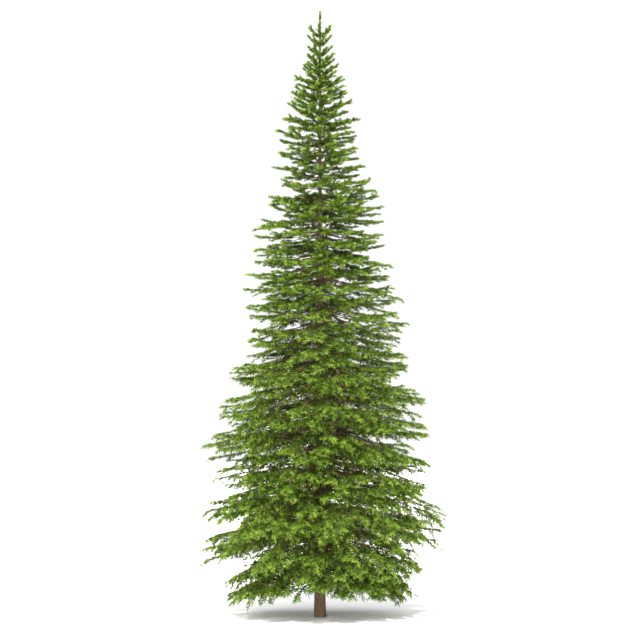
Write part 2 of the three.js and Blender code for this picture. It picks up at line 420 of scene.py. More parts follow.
# Taper of the side twigs towards the tip of a bough, as powers, where the foliage is level and
# where it hangs, and what is left of them along a slender tip.
LEVEL_TAPER = 0.5
HANGING_TAPER = 0.22
SLENDER_TIP = ((0.6, 0.8), (1.0, 0.42))

# Where the foliage hangs: the share of the needles lost next to the trunk, and the share gained
# at the rim, which starts at the first share of a bough's length and is full at the second.
INNER_LOSS = 0.85
RIM = (0.55, 0.85)
RIM_GAIN = 0.7

# Shoots: length at the tip of a side twig, what each metre of twig beyond a shoot adds, greatest
# length, radius, angle in degrees and its stray, and droop where the foliage hangs.
SHOOT_LENGTH = 0.055
SHOOT_LENGTH_PER_METRE = 0.3
LONGEST_SHOOT = 0.15
SHOOT_RADIUS = 0.0014
SHOOT_FORK = 45
SHOOT_FORK_STRAY = 9
SHOOT_DROOP = 0.14

# How far past the box of the solid model a twig may end.
STRAY_MARGIN = 0.08

# Shade of a spray in the middle of the greens, and what its place and chance add to it: lighter
# out along the bough, partly for the fresh young growth at the tips and partly as painted shade
# on the inner part near the trunk; painted light on the top tier of a mass and painted shade on
# its underside; painted shade on the hanging lower crown; and a random stray.
SHADE = 2.9
SHADE_BY_SHARE = 1.4
PAINTED_LIGHT_BY_TIER = 0.4
PAINTED_SHADE_WHERE_HANGING = 0.5
SHADE_STRAY = 1.1


def unit(vector):
    return vector / np.linalg.norm(vector)


def by_height(table, height):
    return np.interp(height, *table)


def points_at(azimuth, facing, within):
    return abs((azimuth - facing + math.pi) % (2 * math.pi) - math.pi) <= within


def in_window(azimuth, height):
    for level, facing, spread, depth in WINDOWS:
        near = abs(height - level) < depth
        if near and points_at(azimuth, math.radians(facing), math.radians(spread)):
            return True
    return False


def skirt(point):
    """The height that nothing in the lowest tier hangs below."""
    radius = math.hypot(point[0], point[1])
    forward = max(-point[1] / radius, 0.0)
    rightward = max(point[0] / radius, 0.0)
    fringe = FRINGE * math.sin(FRINGES * math.atan2(point[1], point[0])) + FRINGE
    raised = SKIRT + SKIRT_FRONT * forward * forward + SKIRT_FRONT_RIGHT * forward * rightward
    return raised + forward * fringe


def middle_height(bough):
    """A bough's height at the share OUTER of its reach."""
    rows = bough.rows
    thick = (rows[:, 2] - rows[:, 1]).max() / 2
    middle = (rows[:, 1] + rows[:, 2]) / 2
    return np.interp(OUTER * rows[-1, 0], rows[:, 0], middle) + bough.offset * thick


def on_path(path, along, distance):
    """The point and the heading at a distance along a path."""
    index = min(int(np.searchsorted(along, distance, side="right")) - 1, len(path) - 2)
    index = max(index, 0)
    step = path[index + 1] - path[index]
    part = (distance - along[index]) / (along[index + 1] - along[index])
    return path[index] + step * part, step / np.linalg.norm(step)


class Growth:
    """Boughs, twigs and shoots of the whole crown, as arrays of short curves."""

    def __init__(self, settings):
        self.settings = settings
        self.random = np.random.RandomState(settings.seed)
        self.plan = []
        self.limbs = []
        self.twigs = []

    def grow(self):
        for mass, name in enumerate(MASSES):
            if name == "foliage_leader":
                self.grow_leader(mass)
            elif name.startswith("foliage_whorl"):
                self.plan_whorl(mass, name)
            else:
                self.plan_fan(mass, name)
        self.fill_gaps()
        for bough in self.plan:
            self.grow_bough(bough)
        self.twigs = np.array(self.twigs)
        self.drop_strays()
        return self

    def add_twig(self, start, direction, size, sag, radius, spray, order, mass, density):
        curve = (*start, *(direction * size), *(sag * size))
        self.twigs.append((*curve, size, radius, spray, order, mass, density))

    def make_bough(self, mass, azimuth, rows, width, offset, stretch):
        """A planned bough: the lines of its mass, its tier from -1 to 1, and its stretch."""
        return SimpleNamespace(
            mass=mass, azimuth=azimuth, rows=rows, width=width, offset=offset, stretch=stretch
        )

    def grow_leader(self, mass):
        foot = LEADER_FOOT * TREE_HEIGHT
        step = (TREE_HEIGHT - NEEDLE_ROOM - foot) / LEADER_PIECES
        for piece in range(LEADER_PIECES):
            start = np.array([0.0, 0.0, foot + step * piece])
            self.add_twig(start, UP, step, 0 * UP, 0.0, MIDDLE_GREEN, LEADER, mass, LEADER_DENSITY)

    def plan_whorl(self, mass, name):
        """A ring of boughs at the top, and two rings close together further down."""
        single = mass <= LAST_SINGLE_RING
        for azimuth, rows, width, lobe, stretch in spokes_of(name):
            if lobe or not single:
                tier = 0.0 if single else (PAIR_TIER if lobe else -PAIR_TIER)
                offset = tier + TIER_STRAY * self.random.uniform(-1, 1)
                self.plan.append(self.make_bough(mass, azimuth, rows, RING_WIDTH * width, offset, stretch))

    def plan_fan(self, mass, name):
        """Boughs at several heights in a mass that takes up part of a turn."""
        lower = name.startswith("foliage_lower")
        for index, (azimuth, rows, width, lobe, stretch) in enumerate(spokes_of(name)):
            wide = (FAN_WIDTH + LOWER_EXTRA_WIDTH * lower) * width
            for tier in self.tiers(index, lobe, lower):
                offset = tier + self.random.uniform(-TIER_STRAY, TIER_STRAY) * (1 + lower)
                turned = azimuth + TURN_STRAY * width * self.random.uniform(-1, 1)
                farther = 1 + (stretch - 1) * self.random.uniform(*STRETCH_SHARE)
                self.plan.append(self.make_bough(mass, turned, rows, wide, offset, farther))

    def tiers(self, index, lobe, lower):
        """How far up or down in its mass each bough of one line starts."""
        if not lower:
            return (PAIR_TIER,) if index % 4 < 2 else (-PAIR_TIER,)
        if lobe:
            return (THREE_TIERS, TWO_TIERS)[index // 2 % 2]
        return (self.random.uniform(-EDGE_TIER, EDGE_TIER),)

    def fill_gaps(self):
        """Boughs where two that point the same way stand too far apart."""
        extra = []
        for sector in range(SECTORS):
            facing = 2 * math.pi * (sector + 0.5) / SECTORS - math.pi
            own = [bough for bough in self.plan if points_at(bough.azimuth, facing, math.pi / SECTORS)]
            own.sort(key=middle_height)
            for lower, upper in zip(own[:-1], own[1:]):
                extra += self.boughs_between(lower, upper, facing)
        self.plan += extra
        self.plan.sort(key=middle_height, reverse=True)

    def boughs_between(self, lower, upper, facing):
        base = middle_height(lower)
        gap = middle_height(upper) - base
        copies = int(gap / by_height(GAP_BY_HEIGHT, base))
        between = []
        for copy in range(copies):
            share = (copy + 1) / (copies + 1)
            rows = lower.rows.copy()
            rows[:, 1:] += gap * (copy + 1) / (copies + 1)
            reach = lower.rows[-1, 0] * (1 - share) + upper.rows[-1, 0] * share
            stretch = reach / rows[-1, 0] * self.random.uniform(*ADDED_REACH)
            turned = facing + self.random.uniform(-ADDED_TURN, ADDED_TURN)
            between.append(self.make_bough(lower.mass, turned, rows, lower.width, lower.offset, stretch))
        return between

    def bough_path(self, bough):
        """Points from the trunk's surface to the tip, along the middle of a mass."""
        rows = bough.rows
        middle = (rows[:, 1] + rows[:, 2]) / 2
        half = (rows[:, 2] - rows[:, 1]) / 2
        half = np.maximum(half, LEAST_HALF_THICKNESS * half.max())
        half[0] = half.max()
        bend = np.polyfit(rows[:, 0], middle, 2)
        foot = np.polyval(bend, 0.0)
        start = trunk_radius(foot) * ROOT_DEPTH
        draw = self.random.uniform(-1, 1, 6)
        kept = 1 - REACH_STRAY * abs(draw[0]) - TIER_REACH_STRAY * abs(draw[1] * bough.offset)
        reach = rows[-1, 0] * bough.stretch * kept - NEEDLE_ROOM
        share = np.linspace(0, 1, PATH_POINTS)
        radius = start + (reach - start) * share
        height = np.polyval(bend, radius) + bough.offset * np.interp(radius, rows[:, 0], half)
        height += HEIGHT_STRAY * reach * draw[2] * share * share
        height += float(by_height(DESCENT_BY_HEIGHT, foot)) * reach * (1 - share) ** 1.5
        height = height + TIP_LIFT * reach * share ** 6
        wave = WAVE * np.sin(WAVE_ALONG * share + 3 * draw[5])
        turn = bough.azimuth + TURN_AT_ROOT * draw[3] + TURN_BY_TIP * draw[4] * share + wave
        return np.stack([radius * np.cos(turn), radius * np.sin(turn), height], 1)

    def grow_bough(self, bough):
        path = self.bough_path(bough)
        path[:, 2] = np.maximum(path[:, 2], skirt(path[-1]) + SKIRT_ROOM)
        steps = np.linalg.norm(np.diff(path, axis=0), axis=1)
        along = np.concatenate([[0], np.cumsum(steps)])
        size = along[-1]
        self.limbs.append((path, LIMB_RADIUS + LIMB_RADIUS_PER_METRE * size))
        bough.size = size
        bough.hang = float(np.clip((HANG_FROM - path[0, 2]) / HANG_DEPTH, 0.0, 1.0))
        bough.slender = bough.stretch == 1.0 and path[0, 2] > SLENDER_FROM
        open_here = in_window(bough.azimuth, path[5, 2])
        bare = (BARE_IN_WINDOW if open_here else BARE + BARE_WHERE_HANGING * bough.hang) * size
        gap = self.settings.twig_gap * (0.7 + 0.3 * min(size, 1.5))
        count = max(int((size - bare) / gap), 3)
        side = 1.0
        for index in range(count):
            draw = self.random.uniform(-1, 1, 6)
            place = ((index + 0.5 + 0.35 * draw[0]) / count) ** (1 - 0.22 * bough.hang)
            distance = bare + (size - bare) * place
            side = -side
            point, ahead = on_path(path, along, distance)
            self.grow_side_twig(bough, point, ahead, side, distance / size, draw)
        self.dress_bough(bough, path, along)

    def spray_shade(self, bough, share, draw):
        """Material slot of a spray: 0 is the deepest green, and the last is the lightest. Its place adds
        the fresh tips' own lighter green, painted light on the top tier, and painted shade inside,
        underneath and on the hanging lower crown.
        """
        # Painted light on the top tier and painted shade on the underside, near the trunk and on the
        # hanging lower crown; the share also stands for the lighter fresh growth at the tips.
        light = SHADE + SHADE_BY_SHARE * share + PAINTED_LIGHT_BY_TIER * bough.offset
        light = light - PAINTED_SHADE_WHERE_HANGING * bough.hang + SHADE_STRAY * draw
        return int(np.clip(round(light), 0, LIGHTEST_GREEN))

    def twig_reach(self, bough, share, draw):
        """Length of a side twig: full along the bough, and short on a slender tip."""
        hanging = (1 - share) ** HANGING_TAPER
        if bough.slender:
            hanging *= float(np.interp(share, *SLENDER_TIP))
        level = (1 - share) ** LEVEL_TAPER
        shape = min(1.0, 0.5 + 1.5 * share) * (level + (hanging - level) * bough.hang)
        room = min(TWIG_PER_WIDTH * bough.size * bough.width, FULL_TWIG)
        reach = room * shape * (1 + TWIG_STRAY * draw[2]) + SHORTEST_TWIG + 0.03 * draw[4]
        reach = float(np.clip(reach, SHORTEST_TWIG, LONGEST_TWIG))
        return reach * min(1.0, 0.5 + 0.7 * bough.size)

    def twig_density(self, bough, share, height):
        """Needles are few inside the lower crown, and thickest at its rim and at the top."""
        density = 1 - INNER_LOSS * bough.hang * (1 - share)
        density *= float(by_height(DENSITY_BY_HEIGHT, height))
        return density * float(np.interp(share, RIM, (1.0, 1.0 + RIM_GAIN * bough.hang)))

    def grow_side_twig(self, bough, point, ahead, side, share, draw):
        across = unit(np.cross(ahead, UP))
        above = np.cross(across, ahead)
        hang = bough.hang
        angle = math.radians(TWIG_FORK - TWIG_FORK_LOST * share + TWIG_FORK_STRAY * draw[1])
        tilt_stray = TILT_STRAY + TILT_STRAY_WHERE_HANGING * hang
        tilt = math.radians(TILT_WHERE_HANGING * hang - TILT_UP + tilt_stray * draw[3])
        reach = self.twig_reach(bough, share, draw)
        outward = across * side * math.cos(tilt) - above * math.sin(tilt)
        direction = unit(ahead * math.cos(angle) + outward * math.sin(angle))
        sag = -UP * (TWIG_SAG + TWIG_SAG_WHERE_HANGING * hang) * (0.7 + 0.3 * draw[4])
        drop = -(direction[2] + sag[2]) * reach
        room = max(point[2] - skirt(point), 0.0)
        if drop > room:
            reach *= max(room / drop, LEAST_SHARE_KEPT)
            if room < LEAST_SHARE_KEPT * drop:
                sag = 0 * UP
                direction = unit(np.array([direction[0], direction[1], 0.02]))
        radius = TWIG_RADIUS + TWIG_RADIUS_PER_METRE * reach
        spray = self.spray_shade(bough, share, draw[5])
        density = self.twig_density(bough, share, point[2])
        self.add_twig(point, direction, reach, sag, radius, spray, SIDE_TWIG, bough.mass, density)
        self.grow_shoots(bough, point, direction, reach, sag, spray, density)

    def grow_shoots(self, bough, point, direction, reach, sag, spray, density):
        shoots = int(reach / self.settings.shoot_gap)
        side = self.random.choice([-1.0, 1.0])
        for index in range(shoots):
            side = -side
            draw = self.random.uniform(-1, 1, 4)
            part = (index + 0.8 + 0.3 * draw[0]) / (shoots + 0.5)
            base = point + (direction * part + sag * part * part) * reach
            heading = unit(direction + 2 * sag * part)
            sideways = unit(np.cross(heading, UP))
            fork = math.radians(SHOOT_FORK + SHOOT_FORK_STRAY * draw[1])
            shoot = heading * math.cos(fork) + sideways * side * math.sin(fork)
            shoot = unit(shoot + UP * (0.3 * draw[2] - 0.25 * bough.hang))
            span = SHOOT_LENGTH + SHOOT_LENGTH_PER_METRE * reach * (1 - part)
            span = min(span * (1 + TWIG_STRAY * draw[3]), LONGEST_SHOOT)
            droop = -UP * SHOOT_DROOP * bough.hang
            if base[2] + shoot[2] * span < skirt(base) - 0.05:
                shoot = unit(np.array([shoot[0], shoot[1], 0.05]))
                droop = 0 * UP
            # A shoot's green strays at random round its spray's, which carries the spray's painted light
            # and painted shade.
            shoot_green = int(np.clip(spray + self.random.randint(-3, 4), 0, LIGHTEST_GREEN))
            self.add_twig(base, shoot, span, droop, SHOOT_RADIUS, shoot_green, SHOOT, bough.mass, density)

    def dress_bough(self, bough, path, along):
        """Needles on the young outer part of the bough itself."""
        size = bough.size
        start = (LONG_BOUGH_FROM if size > LONG_BOUGH else SHORT_BOUGH_FROM) * size
        marks = np.linspace(start, size, BOUGH_PIECES + 1)
        for first, second in zip(marks[:-1], marks[1:]):
            low, _ = on_path(path, along, first)
            high, _ = on_path(path, along, second - 1e-6)
            step = high - low
            span = np.linalg.norm(step)
            spray = self.spray_shade(bough, second / size, 0.0)
            density = DENSE_BOUGH_NEEDLES if size < DENSE_BOUGH else BOUGH_NEEDLES + second / size
            density *= float(by_height(DENSITY_BY_HEIGHT, low[2]))
            self.add_twig(low, step / span, span, 0 * UP, 0.0, spray, BOUGH, bough.mass, density)

    def drop_strays(self):
        """Leave out twigs that end outside the box of the solid model by more than the margin."""
        low, high = np.array(cad_box)
        tips = self.twigs[:, START] + self.twigs[:, RUN] + self.twigs[:, SAG]
        inside = np.all((tips > low - STRAY_MARGIN) & (tips < high + STRAY_MARGIN), axis=1)
        self.twigs = self.twigs[inside]


class Crown:
    """The growth, worked out once and shared by the operators."""

    grown = None

    @classmethod
    def get(cls, context):
        if cls.grown is None:
            cls.grown = Growth(context.scene.spruce_growth).grow()
        return cls.grown


# ---------------------------------------------------------------- meshes


def finish_piece(obj, nodes=()):
    bpy.context.scene.collection.objects.link(obj)
    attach(obj, "root")
    if nodes:
        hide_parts(*nodes)
    return obj


def mesh_from_arrays(name, points, corners, sides, slots=None, smooth=False):
    """A mesh whose faces all have the same number of sides."""
    mesh = bpy.data.meshes.new(name)
    faces = len(corners) // sides
    mesh.vertices.add(len(points))
    mesh.vertices.foreach_set("co", np.ascontiguousarray(points, np.float32).ravel())
    mesh.loops.add(len(corners))
    mesh.loops.foreach_set("vertex_index", np.ascontiguousarray(corners, np.int32))
    mesh.polygons.add(faces)
    mesh.polygons.foreach_set("loop_start", np.arange(0, faces * sides, sides, dtype=np.int32))
    if slots is not None:
        mesh.polygons.foreach_set("material_index", slots.astype(np.int32))
    mesh.polygons.foreach_set("use_smooth", np.full(faces, smooth))
    mesh.update()
    mesh.validate()
    return bpy.data.objects.new(name, mesh)


def perpendiculars(direction):
    """Two unit vectors square to each direction and to each other."""
    flat = np.where(np.abs(direction[:, 2:3]) > 0.92, [[1.0, 0.0, 0.0]], [[0.0, 0.0, 1.0]])
    first = np.cross(direction, flat)
    first /= np.linalg.norm(first, axis=1, keepdims=True)
    return first, np.cross(direction, first)


# Turn from one needle to the next in radians, how much needles rise, the width of a blade at
# its tip by that at its foot, and the share of a twig beyond which its needles are fresher.
NEEDLE_TURN = 2.4
NEEDLE_LIFT = 0.35
NEEDLE_TIP = 0.3
FRESH_FROM = 0.55

# Lean of a needle away from its twig in degrees, how much less it is at the tip of the twig,
# and its stray. Then the least and greatest share of the set length and width.
NEEDLE_LEAN = 58
NEEDLE_LEAN_LOST = 26
NEEDLE_LEAN_STRAY = 9
LENGTH_SPREAD = (0.78, 1.12)
WIDTH_SPREAD = (0.85, 1.1)

# What a twig loses of its radius from its foot to its tip.
TWIG_TAPER = 0.7


def needle_counts(twigs, per_metre):
    return np.maximum(np.round(twigs[:, SIZE] * twigs[:, DENSITY] * per_metre), 3).astype(int)


def needle_arrays(twigs, per_metre, settings, random):
    """Tapering needles set round every twig, fresher towards its tip, and their slots."""
    counts = needle_counts(twigs, per_metre)
    owner = np.repeat(np.arange(len(twigs)), counts)
    rank = np.arange(len(owner)) - np.repeat(np.cumsum(counts) - counts, counts)
    total = len(owner)
    place = ((rank + random.uniform(0, 1, total)) / counts[owner])[:, None]
    start, run, sag = twigs[owner, START], twigs[owner, RUN], twigs[owner, SAG]
    base = start + run * place + sag * place * place
    heading = run + 2 * sag * place
    heading /= np.linalg.norm(heading, axis=1, keepdims=True)
    first, second = perpendiculars(heading)
    turn = (rank * NEEDLE_TURN + random.uniform(0, 2 * math.pi, len(twigs))[owner])[:, None]
    outward = first * np.cos(turn) + second * np.sin(turn)
    outward[:, 2] += NEEDLE_LIFT
    outward /= np.linalg.norm(outward, axis=1, keepdims=True)
    stray = random.uniform(-NEEDLE_LEAN_STRAY, NEEDLE_LEAN_STRAY, total)
    lean = np.radians(NEEDLE_LEAN - NEEDLE_LEAN_LOST * place[:, 0] ** 2 + stray)[:, None]
    needle = heading * np.cos(lean) + outward * np.sin(lean)
    needle /= np.linalg.norm(needle, axis=1, keepdims=True)
    wide, thin = perpendiculars(needle)
    roll = random.uniform(0, math.pi, total)[:, None]
    across = wide * np.cos(roll) + thin * np.sin(roll)
    fineness = by_height(FINENESS_BY_HEIGHT, base[:, 2:3])
    size = settings.needle_length * fineness * random.uniform(*LENGTH_SPREAD, total)[:, None]
    width = settings.needle_width * fineness * random.uniform(*WIDTH_SPREAD, total)[:, None]
    half, tip = across * width / 2, base + needle * size
    narrow = NEEDLE_TIP * half
    points = np.stack([base - half, base + half, tip + narrow, tip - narrow], 1)
    shade = twigs[owner, SPRAY] + np.where(place[:, 0] > FRESH_FROM, 1, -2)
    return points.reshape(-1, 3), np.clip(shade, 0, LIGHTEST_GREEN)


def twig_arrays(twigs, segments):
    """Three-sided tapering twigs that follow their curve, closed at the foot and in a point."""
    rings = []
    for ring in range(segments):
        place = ring / segments
        centre = twigs[:, START] + twigs[:, RUN] * place + twigs[:, SAG] * place * place
        heading = twigs[:, RUN] + 2 * twigs[:, SAG] * place
        heading /= np.linalg.norm(heading, axis=1, keepdims=True)
        first, second = perpendiculars(heading)
        radius = twigs[:, RADIUS, None] * (1 - TWIG_TAPER * place)
        for side in range(3):
            angle = 2 * math.pi * side / 3
            rings.append(centre + (first * math.cos(angle) + second * math.sin(angle)) * radius)
    rings.append(twigs[:, START] + twigs[:, RUN] + twigs[:, SAG])
    points = np.stack(rings, 1).reshape(-1, 3)
    faces = [[0, 2, 1]]
    for side in range(3):
        after = (side + 1) % 3
        for low in range(0, 3 * (segments - 1), 3):
            faces.append([low + side, low + after, low + 3 + after])
            faces.append([low + side, low + 3 + after, low + 3 + side])
        last = 3 * (segments - 1)
        faces.append([last + side, last + after, last + 3])
    base = (np.arange(len(twigs)) * (3 * segments + 1))[:, None, None]
    return points, (np.array(faces)[None] + base).reshape(-1)


# ---------------------------------------------------------------- materials

# Needle greens from the deepest to the lightest. Sprays take them partly for the needles' own tone (fresh
# tips, random strays) and partly as painted light: lighter on top, with painted shade underneath, inside
# and low down.
GREENS = (
    ("needles_shade", (0.014, 0.038, 0.002)),
    ("needles_deep", (0.025, 0.06, 0.003)),
    ("needles_dark", (0.04, 0.084, 0.004)),
    ("needles_green", (0.06, 0.112, 0.006)),
    ("needles_bright", (0.086, 0.15, 0.011)),
    ("needles_light", (0.118, 0.192, 0.018)),
    ("needles_fresh_and_painted_light", (0.155, 0.232, 0.03)),
)
LIGHTEST_GREEN = len(GREENS) - 1
MIDDLE_GREEN = LIGHTEST_GREEN // 2
TWIG_BROWNS = (("twig_brown", (0.2, 0.115, 0.068)), ("twig_tan", (0.29, 0.185, 0.11)))


def plain_material(name, shade, roughness):
    material = bpy.data.materials.new(name)
    material.use_nodes = True
    surface = material.node_tree.nodes["Principled BSDF"]
    surface.inputs["Base Color"].default_value = (*shade, 1)
    surface.inputs["Roughness"].default_value = roughness
    surface.inputs["Specular IOR Level"].default_value = 0.12
    return material


def trunk_bark(settings):
    """Scaly plates drawn out along the trunk, with dark furrows and a pale bloom."""
    shader = Shader("bark_trunk")
    where = shader.place((1.0, 1.0, 0.42))
    warp = shader.make("ShaderNodeTexNoise", {}, {"Vector": where, "Scale": 9.0, "Detail": 3.0}, 1)
    bent = shader.make(
        "ShaderNodeMix", {"data_type": "VECTOR"}, {0: 0.06, 4: where, 5: warp}, 1
    )
    plates = shader.make(
        "ShaderNodeTexVoronoi",
        {"feature": "DISTANCE_TO_EDGE"},
        {"Vector": bent, "Scale": 34.0},
    )
    crack = shader.make(
        "ShaderNodeValToRGB", {"stops": ((0.0, 0.0), (0.16, 1.0))}, {"Fac": plates}
    )
    grain = shader.make(
        "ShaderNodeTexNoise", {}, {"Vector": where, "Scale": 120.0, "Detail": 6.0, "Roughness": 0.7}
    )
    patches = shader.make("ShaderNodeTexNoise", {}, {"Vector": where, "Scale": 5.0, "Detail": 4.0})
    bloom = shader.make(
        "ShaderNodeValToRGB", {"stops": ((0.45, 0.0), (0.72, 1.0))}, {"Fac": patches}
    )
    body = shader.mix(grain * 0.55 + 0.1, tuple(settings.plate), tuple(settings.lichen))
    bloomed = shader.mix(bloom * 0.5, body, tuple(settings.lichen))
    furrow = shader.mix((1 - crack) * 0.85, bloomed, tuple(settings.furrow))
    shader.feed(shader.surface.inputs["Base Color"], furrow)
    shader.feed(shader.surface.inputs["Roughness"], 0.8 + grain * 0.18)
    bump = shader.make(
        "ShaderNodeBump", {}, {"Strength": 0.8, "Distance": 0.004, "Height": crack * 0.7 + grain * 0.5}
    )
    shader.feed(shader.surface.inputs["Normal"], bump)
    return shader.material


def limb_bark(settings):
    """Reddish-brown bark with fine cracks round the limb."""
    shader = Shader("bark_limb")
    where = shader.place((1.0, 1.0, 1.0))
    grain = shader.make(
        "ShaderNodeTexNoise", {}, {"Vector": where, "Scale": 60.0, "Detail": 5.0, "Roughness": 0.65}
    )
    patches = shader.make("ShaderNodeTexNoise", {}, {"Vector": where, "Scale": 7.0, "Detail": 2.0})
    dark = shader.make("ShaderNodeValToRGB", {"stops": ((0.4, 1.0), (0.62, 0.0))}, {"Fac": grain})
    body = shader.mix(patches, tuple(settings.limb), tuple(settings.plate))
    cracked = shader.mix(dark * 0.7, body, tuple(settings.limb_dark))
    shader.feed(shader.surface.inputs["Base Color"], cracked)
    shader.feed(shader.surface.inputs["Roughness"], 0.78 + grain * 0.2)
    bump = shader.make("ShaderNodeBump", {}, {"Strength": 0.6, "Distance": 0.002, "Height": grain})
    shader.feed(shader.surface.inputs["Normal"], bump)
    return shader.material


# ---------------------------------------------------------------- operators


# The trunk's bark: how many plates, flakes and lumps to a metre, how far they are drawn out
# along the trunk, what the flakes and lumps add, and the radius where the relief is full.
PLATES_PER_METRE = 36
FLAKES_PER_METRE = 60
LUMPS_PER_METRE = 9
BARK_STRETCH = 0.4
PLATE_EDGE = 2.2
PLATE_LEVEL = 0.55
FLAKE_SHARE = 0.35
LUMP_RELIEF = 0.005
FULL_RELIEF_RADIUS = 0.1

# The boughs' bark: sides and rings of a bough, its taper, the collar at the trunk and how soon
# it ends, and how many bumps there are to a metre and what they add to the radius.
LIMB_SIDES = 8
LIMB_RINGS = 22
LIMB_TAPER = 0.9
LIMB_TAPER_POWER = 0.8
COLLAR = 0.5
COLLAR_FALL = 22
BUMPS_PER_METRE = 35
BUMP_SHARE = 0.22
BUMP_STEP = 1.7


class SPRUCE_OT_trunk(Operator):
    """Turn the trunk's profile round its axis and raise the plates of its bark"""

    bl_idname = "spruce.trunk"
    bl_label = "Trunk"

    def execute(self, context):
        settings = context.scene.spruce_bark
        shape = bmesh.new()
        heights = TREE_HEIGHT * np.linspace(0, 1, settings.rings) ** 1.25
        profile = [(float(trunk_radius(height)), 0, float(height)) for height in heights]
        line = [shape.verts.new(point) for point in profile]
        edges = [shape.edges.new(pair) for pair in zip(line[:-1], line[1:])]
        bmesh.ops.spin(
            shape,
            geom=line + edges,
            cent=(0, 0, 0),
            axis=(0, 0, 1),
            angle=2 * math.pi,
            steps=settings.sides,
            use_merge=True,
        )
        bmesh.ops.remove_doubles(shape, verts=shape.verts, dist=1e-5)
        bmesh.ops.holes_fill(shape, edges=shape.edges, sides=0)
        for vertex in shape.verts:
            self.raise_bark(vertex, settings.plate_relief)
        bmesh.ops.recalc_face_normals(shape, faces=shape.faces)
        mesh = bpy.data.meshes.new("trunk_bark")
        shape.to_mesh(mesh)
        shape.free()
        mesh.materials.append(trunk_bark(settings))
        mesh.polygons.foreach_set("use_smooth", np.full(len(mesh.polygons), True))
        finish_piece(bpy.data.objects.new("trunk_bark", mesh), ["trunk"])
        return {"FINISHED"}

    def raise_bark(self, vertex, relief):
        radius = math.hypot(vertex.co.x, vertex.co.y)
        if radius < 1e-4 or vertex.co.z > TREE_HEIGHT - 0.01:
            return
        outward = Vector((vertex.co.x, vertex.co.y, 0)) / radius
        where = Vector((vertex.co.x, vertex.co.y, vertex.co.z * BARK_STRETCH))
        distances, _ = noise.voronoi(where * PLATES_PER_METRE)
        plate = min((distances[1] - distances[0]) * PLATE_EDGE, 1.0)
        flakes = noise.fractal(where * FLAKES_PER_METRE, 0.7, 2.2, 4)
        spread = Vector((LUMPS_PER_METRE, LUMPS_PER_METRE, 2.2))
        lumps = noise.noise(vertex.co * spread)
        strength = min(radius / FULL_RELIEF_RADIUS, 1.0)
        rise = relief * (plate - PLATE_LEVEL + FLAKE_SHARE * flakes) + LUMP_RELIEF * lumps
        vertex.co += outward * rise * strength


class SPRUCE_OT_boughs(Operator):
    """Draw every bough out along its path, from a collar on the trunk to its tip"""

    bl_idname = "spruce.boughs"
    bl_label = "Boughs"

    def execute(self, context):
        limbs = Crown.get(context).limbs
        material = limb_bark(context.scene.spruce_bark)
        half = len(limbs) // 2
        self.make_piece("boughs_upper", limbs[:half], material, LIMBS[:6])
        self.make_piece("boughs_lower", limbs[half:], material, LIMBS[6:])
        return {"FINISHED"}

    def make_piece(self, name, limbs, material, nodes):
        points, corners = [], []
        count = 0
        for path, root_radius in limbs:
            rings = self.rings_along(path, root_radius)
            points.append(rings.reshape(-1, 3))
            corners.append(self.skin() + count)
            count += LIMB_RINGS * LIMB_SIDES
        obj = mesh_from_arrays(name, np.concatenate(points), np.concatenate(corners), 4, smooth=True)
        obj.data.materials.append(material)
        finish_piece(obj, nodes)

    def rings_along(self, path, root_radius):
        share = np.linspace(0, 1, LIMB_RINGS)
        places = share * (len(path) - 1)
        index = np.arange(len(path))
        centre = np.stack([np.interp(places, index, path[:, axis]) for axis in range(3)], 1)
        heading = np.gradient(centre, axis=0)
        heading /= np.linalg.norm(heading, axis=1, keepdims=True)
        first, second = perpendiculars(heading)
        radius = root_radius * (1 - LIMB_TAPER * share ** LIMB_TAPER_POWER)
        radius *= 1 + COLLAR * np.exp(-share * COLLAR_FALL)
        rings = []
        for side in range(LIMB_SIDES):
            angle = 2 * math.pi * side / LIMB_SIDES
            aside = Vector((side * BUMP_STEP, 0, 0))
            bumps = [noise.noise(Vector(point * BUMPS_PER_METRE) + aside) for point in centre]
            uneven = radius * (1 + BUMP_SHARE * np.array(bumps))
            outward = first * math.cos(angle) + second * math.sin(angle)
            rings.append(centre + outward * uneven[:, None])
        return np.stack(rings, 1)

    def skin(self):
        """Faces round a bough and over its two ends, which fit eight sides."""
        low = np.arange(LIMB_RINGS - 1)[:, None] * LIMB_SIDES
        high = low + LIMB_SIDES
        side = np.arange(LIMB_SIDES)[None, :]
        after = (side + 1) % LIMB_SIDES
        quads = np.stack([low + side, low + after, high + after, high + side], 2)
        foot = np.array([[0, 3, 2, 1], [0, 5, 4, 3], [0, 7, 6, 5]])
        tip = np.array([[0, 1, 2, 3], [0, 3, 4, 5], [0, 5, 6, 7]]) + (LIMB_RINGS - 1) * LIMB_SIDES
        return np.concatenate([quads.reshape(-1), foot.reshape(-1), tip.reshape(-1)])


class SPRUCE_OT_twigs(Operator):
    """Put the wood of every twig and shoot into joined meshes"""

    bl_idname = "spruce.twigs"
    bl_label = "Twigs"

    def execute(self, context):
        twigs = Crown.get(context).twigs
        materials = [plain_material(name, shade, 0.75) for name, shade in TWIG_BROWNS]
        self.make_pieces("side_twigs", twigs[twigs[:, ORDER] == SIDE_TWIG], 2, materials)
        self.make_pieces("shoots", twigs[twigs[:, ORDER] == SHOOT], 1, materials)
        return {"FINISHED"}

    def make_pieces(self, name, twigs, segments, materials):
        faces = 6 * segments - 2
        pieces = math.ceil(len(twigs) * faces / MOST_TRIANGLES)
        for index, share in enumerate(np.array_split(twigs, pieces)):
            points, corners = twig_arrays(share, segments)
            # Twigs in sprays lighter than the middle green take the paler tan, so the wood follows the
            # sprays' painted light and painted shade as well as their own tone.
            slots = np.repeat((share[:, SPRAY] > MIDDLE_GREEN).astype(int), faces)
            obj = mesh_from_arrays(f"{name}_{index + 1}", points, corners, 3, slots)
            for material in materials:
                obj.data.materials.append(material)
            finish_piece(obj)


